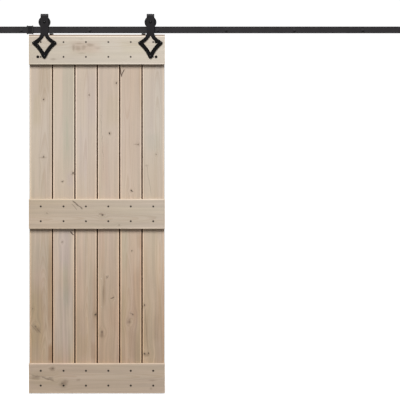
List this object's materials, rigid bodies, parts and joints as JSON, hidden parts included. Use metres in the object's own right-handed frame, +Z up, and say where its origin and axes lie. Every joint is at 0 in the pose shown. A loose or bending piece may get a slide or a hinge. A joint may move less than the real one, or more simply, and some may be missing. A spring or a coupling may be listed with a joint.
{
  "type": "sliding barn door",
  "caption": "Sliding plank door with cross rails, hung on a flat steel track by two strap hangers with open diamond feet and grooved wheels.",
  "frame": {"origin": "on the wall plane, at the centre of the middle wall spacer's back face, which is the middle of the track's length and height", "axes": "+X to the right along the track, +Y into the wall, +Z up; the front of the door faces -Y"},
  "size_m": [2.7432, 0.1055, 2.2576],
  "materials": {
    "board_wood": "bare sanded pine planks",
    "rail_wood": "bare sanded pine rails",
    "nail_steel": "dark brown oxidised steel",
    "black_steel": "matt black powder coat",
    "black_fastener": "satin black oxide",
    "black_nylon": "turned black nylon",
    "black_rubber": "matt rubber",
    "bright_steel": "ground steel"
  },
  "bodies": {
    "frame": {"track": "black_steel", "wall_spacers": "black_steel", "lag_screws": "black_fastener", "lag_washers": "black_fastener", "left_stop_clamp": "black_steel", "left_stop_pads": "black_rubber", "left_stop_screws": "black_fastener", "right_stop_clamp": "black_steel", "right_stop_pads": "black_rubber", "right_stop_screws": "black_fastener"},
    "door": {"board_1": "board_wood", "board_2": "board_wood", "board_3": "board_wood", "board_4": "board_wood", "board_5": "board_wood", "board_6": "board_wood", "top_rail": "rail_wood", "middle_rail": "rail_wood", "bottom_rail": "rail_wood", "top_rail_nails": "nail_steel", "middle_rail_nails": "nail_steel", "bottom_rail_nails": "nail_steel", "left_hanger": "black_steel", "right_hanger": "black_steel", "left_hanger_bolts": "black_fastener", "right_hanger_bolts": "black_fastener", "left_bolt_washers": "black_fastener", "right_bolt_washers": "black_fastener", "left_bolt_nuts": "black_fastener", "right_bolt_nuts": "black_fastener", "left_axle": "black_fastener", "right_axle": "black_fastener", "left_axle_nut": "black_fastener", "right_axle_nut": "black_fastener", "left_axle_sleeves": "bright_steel", "right_axle_sleeves": "bright_steel", "left_bearing_inner": "bright_steel", "right_bearing_inner": "bright_steel", "left_anti_jump_disc": "black_nylon", "right_anti_jump_disc": "black_nylon", "left_disc_screw": "black_fastener", "right_disc_screw": "black_fastener"},
    "left_wheel": {"left_wheel": "black_nylon", "left_bearing_outer": "bright_steel", "left_bearing_balls": "bright_steel"},
    "right_wheel": {"right_wheel": "black_nylon", "right_bearing_outer": "bright_steel", "right_bearing_balls": "bright_steel"}
  },
  "joints": [
    {"name": "door_slide", "type": "slide", "parent": "frame", "child": "door", "axis": [1, 0, 0], "range_m": [-0.037, 1.568]},
    {"name": "left_wheel_spin", "type": "hinge", "parent": "door", "child": "left_wheel", "pos_m": [-1.08105, -0.038, 0.046], "axis": [0, 1, 0], "continuous": true},
    {"name": "right_wheel_spin", "type": "hinge", "parent": "door", "child": "right_wheel", "pos_m": [-0.44995, -0.038, 0.046], "axis": [0, 1, 0], "continuous": true}
  ],
  "couplings": [
    {"joint": "left_wheel_spin", "follows": "door_slide", "rad_per_m": 38.462},
    {"joint": "right_wheel_spin", "follows": "door_slide", "rad_per_m": 38.462}
  ]
}
